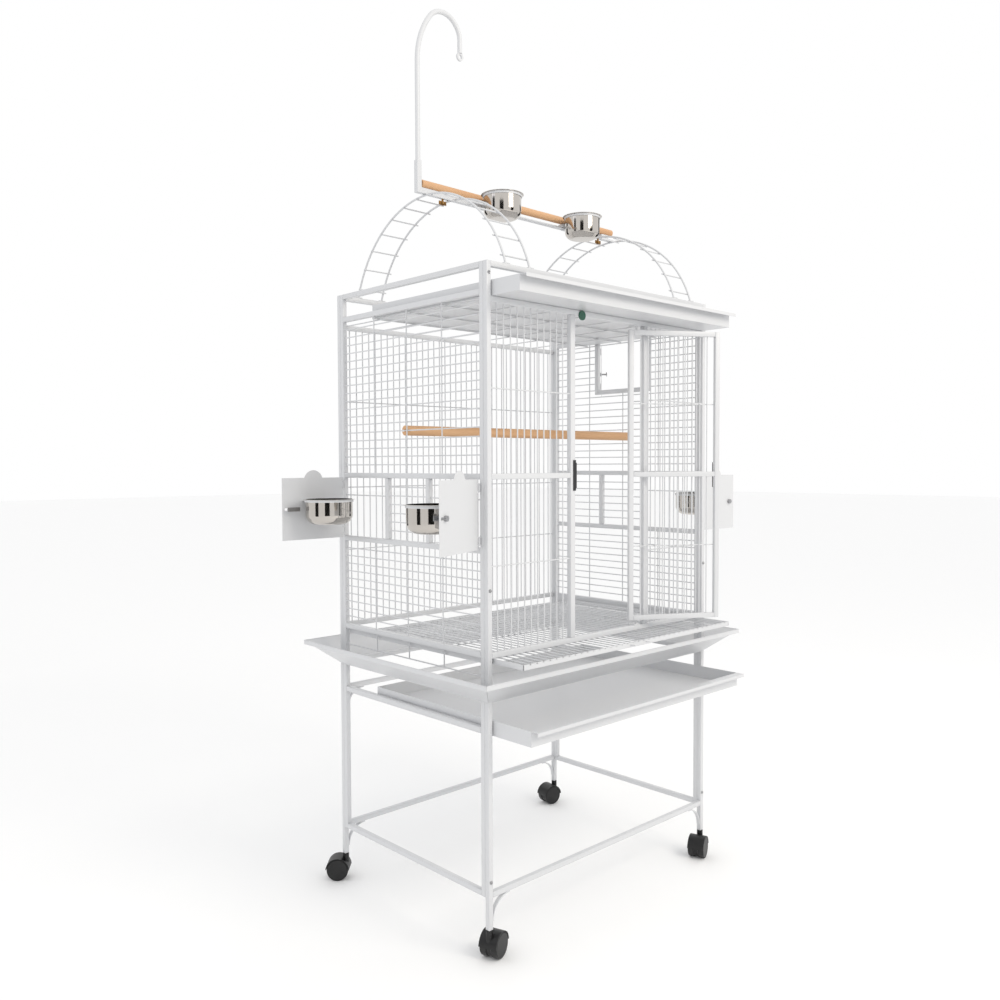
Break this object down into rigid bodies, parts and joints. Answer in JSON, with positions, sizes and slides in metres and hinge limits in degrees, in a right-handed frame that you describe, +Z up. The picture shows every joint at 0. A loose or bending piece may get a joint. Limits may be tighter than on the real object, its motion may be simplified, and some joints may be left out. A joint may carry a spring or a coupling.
{
  "type": "bird cage on stand",
  "caption": "White powder-coated parrot cage with a play top, open front door, feeder doors, pull-out trays and a wheeled stand.",
  "frame": {"origin": "centre of the cage's footprint on the floor, midway between the four posts", "axes": "+Z up, +X to the right along the front panel, the front door faces -Y"},
  "size_m": [1.1754, 0.7756, 2.188],
  "materials": {
    "white_powder_coat": "satin powder coat",
    "polished_stainless": "polished",
    "beech": "sanded dowel",
    "black_nylon": "moulded",
    "zinc_steel": "zinc plated",
    "black_steel": "black coat",
    "brass_screw": "dull",
    "green_disc": "plain"
  },
  "bodies": {
    "cage": {"back_guard": "white_powder_coat", "back_panel_bars": "white_powder_coat", "back_panel_frame": "white_powder_coat", "caster_stems": "zinc_steel", "door_hinges": "white_powder_coat", "door_strike": "black_steel", "frame_bolts": "zinc_steel", "front_guard": "white_powder_coat", "front_panel_bars": "white_powder_coat", "front_panel_frame": "white_powder_coat", "hanging_hook": "white_powder_coat", "hook_post": "white_powder_coat", "inner_perch": "beech", "ladder_arches": "white_powder_coat", "left_guard": "white_powder_coat", "left_side_bars": "white_powder_coat", "left_side_frame": "white_powder_coat", "perch_bar": "white_powder_coat", "play_cup_rings": "white_powder_coat", "play_cups": "polished_stainless", "play_perch": "beech", "right_guard": "white_powder_coat", "right_side_bars": "white_powder_coat", "right_side_frame": "white_powder_coat", "roof_grille": "white_powder_coat", "round_badge": "green_disc", "sheet_door_hinges": "white_powder_coat", "stand_back_frame": "white_powder_coat", "stand_front_frame": "white_powder_coat", "stand_side_frames": "white_powder_coat", "tray_runners": "white_powder_coat", "wing_screws": "brass_screw"},
    "door": {"door_frame": "white_powder_coat", "door_bars": "white_powder_coat"},
    "door_latch_lever": {"door_latch": "black_steel"},
    "rear_feeder": {"rear_feeder_bowl": "polished_stainless", "rear_feeder_door": "white_powder_coat", "rear_feeder_ring": "white_powder_coat"},
    "rear_feeder_slide_bolt": {"rear_feeder_bolt": "zinc_steel"},
    "front_feeder": {"front_feeder_bowl": "polished_stainless", "front_feeder_door": "white_powder_coat", "front_feeder_ring": "white_powder_coat"},
    "front_feeder_slide_bolt": {"front_feeder_bolt": "zinc_steel"},
    "right_feeder": {"right_feeder_bowl": "polished_stainless", "right_feeder_door": "white_powder_coat", "right_feeder_ring": "white_powder_coat"},
    "right_feeder_slide_bolt": {"right_feeder_bolt": "zinc_steel"},
    "nest": {"nest_door": "white_powder_coat"},
    "nest_slide_bolt": {"nest_bolt": "zinc_steel"},
    "top_tray_body": {"top_tray": "white_powder_coat"},
    "grate_body": {"floor_grate": "white_powder_coat"},
    "drawer_body": {"litter_drawer": "white_powder_coat"},
    "front_left_caster": {"front_left_caster_body": "black_nylon"},
    "front_left_wheels": {"front_left_caster_wheels": "black_nylon"},
    "front_right_caster": {"front_right_caster_body": "black_nylon"},
    "front_right_wheels": {"front_right_caster_wheels": "black_nylon"},
    "back_right_caster": {"back_right_caster_body": "black_nylon"},
    "back_right_wheels": {"back_right_caster_wheels": "black_nylon"},
    "back_left_caster": {"back_left_caster_body": "black_nylon"},
    "back_left_wheels": {"back_left_caster_wheels": "black_nylon"}
  },
  "joints": [
    {"name": "door_swing", "type": "hinge", "parent": "cage", "child": "door", "pos_m": [0.109, -0.2815, 1.06], "axis": [0, 0, 1], "range_deg": [-149, 6]},
    {"name": "door_latch_turn", "type": "hinge", "parent": "door", "child": "door_latch_lever", "pos_m": [0.29783, -0.38983, 1.06335], "axis": [0.515, 0.8572, 0], "range_deg": [-90, 0]},
    {"name": "rear_feeder_swing", "type": "hinge", "parent": "cage", "child": "rear_feeder", "pos_m": [-0.4097, 0.2624, 0.98], "axis": [0, 0, 1], "range_deg": [-60, 90]},
    {"name": "rear_feeder_bolt_slide", "type": "slide", "parent": "rear_feeder", "child": "rear_feeder_slide_bolt", "axis": [-1, 0, 0], "range_m": [0, 0.014]},
    {"name": "front_feeder_swing", "type": "hinge", "parent": "cage", "child": "front_feeder", "pos_m": [-0.4097, -0.2624, 0.98], "axis": [0, 0, 1], "range_deg": [-112, 38]},
    {"name": "front_feeder_bolt_slide", "type": "slide", "parent": "front_feeder", "child": "front_feeder_slide_bolt", "axis": [-0.9272, -0.3746, 0], "range_m": [0, 0.014]},
    {"name": "right_feeder_swing", "type": "hinge", "parent": "cage", "child": "right_feeder", "pos_m": [0.4097, -0.2624, 0.98], "axis": [0, 0, 1], "range_deg": [-60, 90]},
    {"name": "right_feeder_bolt_slide", "type": "slide", "parent": "right_feeder", "child": "right_feeder_slide_bolt", "axis": [1, 0, 0], "range_m": [0, 0.014]},
    {"name": "nest_swing", "type": "hinge", "parent": "cage", "child": "nest", "pos_m": [0.4097, 0.0925, 1.378], "axis": [0, 0, 1], "range_deg": [-130, 20]},
    {"name": "nest_bolt_slide", "type": "slide", "parent": "nest", "child": "nest_slide_bolt", "axis": [0.766, 0.6428, 0], "range_m": [0, 0.014]},
    {"name": "top_tray_slide", "type": "slide", "parent": "cage", "child": "top_tray_body", "axis": [0, -1, 0], "range_m": [-0.097, 0.3]},
    {"name": "floor_grate_slide", "type": "slide", "parent": "cage", "child": "grate_body", "axis": [0, -1, 0], "range_m": [-0.09, 0.3]},
    {"name": "litter_drawer_slide", "type": "slide", "parent": "cage", "child": "drawer_body", "axis": [0, -1, 0], "range_m": [-0.128, 0.3]},
    {"name": "front_left_swivel", "type": "hinge", "parent": "cage", "child": "front_left_caster", "pos_m": [-0.40015, -0.27925, 0.06], "axis": [0, 0, 1], "continuous": true},
    {"name": "front_left_roll", "type": "hinge", "parent": "front_left_caster", "child": "front_left_wheels", "pos_m": [-0.38124, -0.27274, 0.028], "axis": [-0.3256, 0.9455, 0], "continuous": true},
    {"name": "front_right_swivel", "type": "hinge", "parent": "cage", "child": "front_right_caster", "pos_m": [0.40015, -0.27925, 0.06], "axis": [0, 0, 1], "continuous": true},
    {"name": "front_right_roll", "type": "hinge", "parent": "front_right_caster", "child": "front_right_wheels", "pos_m": [0.38136, -0.28609, 0.028], "axis": [0.342, -0.9397, 0], "continuous": true},
    {"name": "back_right_swivel", "type": "hinge", "parent": "cage", "child": "back_right_caster", "pos_m": [0.40015, 0.27925, 0.06], "axis": [0, 0, 1], "continuous": true},
    {"name": "back_right_roll", "type": "hinge", "parent": "back_right_caster", "child": "back_right_wheels", "pos_m": [0.38045, 0.28272, 0.028], "axis": [-0.1736, -0.9848, 0], "continuous": true},
    {"name": "back_left_swivel", "type": "hinge", "parent": "cage", "child": "back_left_caster", "pos_m": [-0.40015, 0.27925, 0.06], "axis": [0, 0, 1], "continuous": true},
    {"name": "back_left_roll", "type": "hinge", "parent": "back_left_caster", "child": "back_left_wheels", "pos_m": [-0.41478, 0.29289, 0.028], "axis": [-0.682, -0.7314, 0], "continuous": true}
  ]
}
